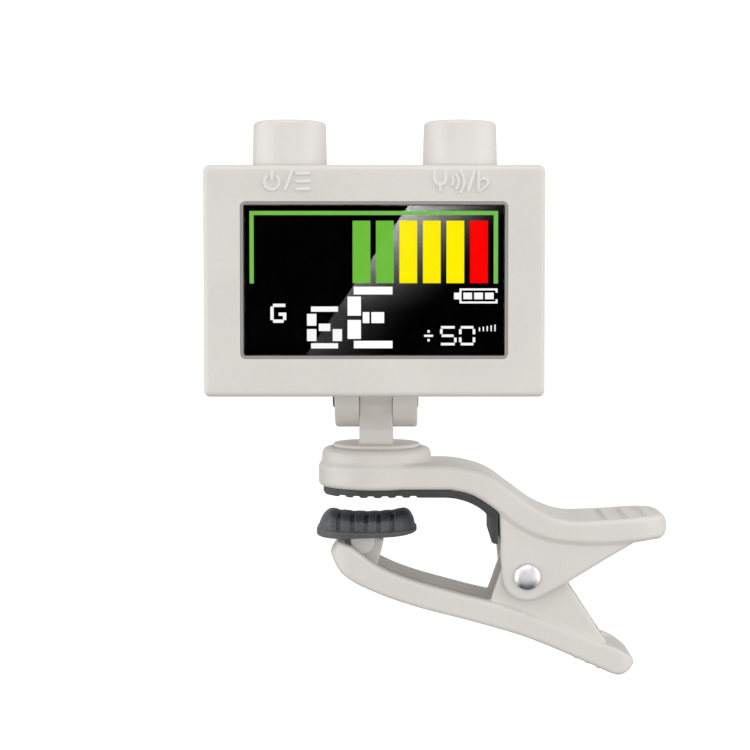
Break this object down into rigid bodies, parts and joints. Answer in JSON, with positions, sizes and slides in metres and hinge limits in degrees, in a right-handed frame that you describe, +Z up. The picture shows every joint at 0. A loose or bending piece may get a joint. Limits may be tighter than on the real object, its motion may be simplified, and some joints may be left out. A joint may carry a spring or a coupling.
{
  "type": "clip-on tuner",
  "caption": "Sprung clip with a rubber-lined jaw and rocking pad that carries a swivelling, tilting display head with push buttons on top, for reading an instrument's pitch.",
  "frame": {"origin": "middle of the upper liner's gripping face, on the swivel axis", "axes": "+X from the jaws to the handles, -Y the way the display faces, +Z up along the stem"},
  "size_m": [0.0675, 0.0267, 0.0812],
  "materials": {
    "shell_plastic": "fine satin moulded plastic, warm white",
    "dark_rubber": "soft matt rubber, slate grey",
    "bezel_plastic": "satin mid grey",
    "clear_lens": "clear glossy acrylic",
    "display_glass": "black negative display with coloured segments",
    "white_diffuser": "milky light guide",
    "black_plastic": "plain black moulding",
    "blackened_steel": "black oxide",
    "board_laminate": "green lacquered glass-fibre board",
    "bright_steel": "satin to polished plated steel",
    "sensor_brass": "plain rolled brass"
  },
  "bodies": {
    "clip_upper": {"upper_jaw": "shell_plastic", "upper_liner": "dark_rubber", "jaw_rivet": "bright_steel", "rivet_cap": "bright_steel", "torsion_spring": "bright_steel"},
    "clip_lower": {"lower_jaw": "shell_plastic", "pad_pin": "bright_steel"},
    "rocking_pad": {"pad_carrier": "shell_plastic", "grip_pad": "dark_rubber"},
    "swivel_stem": {"stem": "shell_plastic", "swivel_washer": "bright_steel", "swivel_screw": "bright_steel"},
    "head": {"front_case": "shell_plastic", "rear_cover": "shell_plastic", "screen_bezel": "bezel_plastic", "screen_lens": "clear_lens", "display_panel": "display_glass", "display_holder": "black_plastic", "backlight_plate": "white_diffuser", "display_connector": "black_plastic", "circuit_board": "board_laminate", "main_chip": "black_plastic", "power_switch": "black_plastic", "pitch_switch": "black_plastic", "piezo_sensor": "sensor_brass", "coin_cell": "bright_steel", "battery_holder": "black_plastic", "positive_contact": "bright_steel", "negative_contact": "bright_steel", "case_screw_1": "bright_steel", "case_screw_2": "bright_steel", "case_screw_3": "bright_steel", "case_screw_4": "bright_steel", "hinge_screw": "blackened_steel", "hinge_nut": "bright_steel", "left_friction_washer": "black_plastic", "right_friction_washer": "black_plastic"},
    "power_key": {"power_button": "shell_plastic"},
    "pitch_key": {"pitch_button": "shell_plastic"},
    "battery_hatch": {"battery_door": "shell_plastic"}
  },
  "joints": [
    {"name": "jaw_open", "type": "hinge", "parent": "clip_upper", "child": "clip_lower", "pos_m": [0.0223, 0, -0.0118], "axis": [0, -1, 0], "range_deg": [0, 38], "stiffness_Nm_per_rad": 0.12, "springref_deg": -68.75, "deforming": ["torsion_spring"]},
    {"name": "pad_rock", "type": "hinge", "parent": "clip_lower", "child": "rocking_pad", "pos_m": [-0.00205, 0, -0.0072], "axis": [0, -1, 0], "range_deg": [-6, 6]},
    {"name": "head_swivel", "type": "hinge", "parent": "clip_upper", "child": "swivel_stem", "pos_m": [0, 0, 0.00685], "axis": [0, 0, 1], "continuous": true},
    {"name": "head_tilt", "type": "hinge", "parent": "swivel_stem", "child": "head", "pos_m": [0, 0, 0.015], "axis": [-1, 0, 0], "range_deg": [-30, 60]},
    {"name": "power_press", "type": "slide", "parent": "head", "child": "power_key", "axis": [0, 0, -1], "range_m": [0, 0.0005], "stiffness_N_per_m": 1000, "springref_m": -0.001},
    {"name": "pitch_press", "type": "slide", "parent": "head", "child": "pitch_key", "axis": [0, 0, -1], "range_m": [0, 0.0005], "stiffness_N_per_m": 1000, "springref_m": -0.001},
    {"name": "door_slide", "type": "slide", "parent": "head", "child": "battery_hatch", "axis": [0, 0, 1], "range_m": [0, 0.026]}
  ]
}
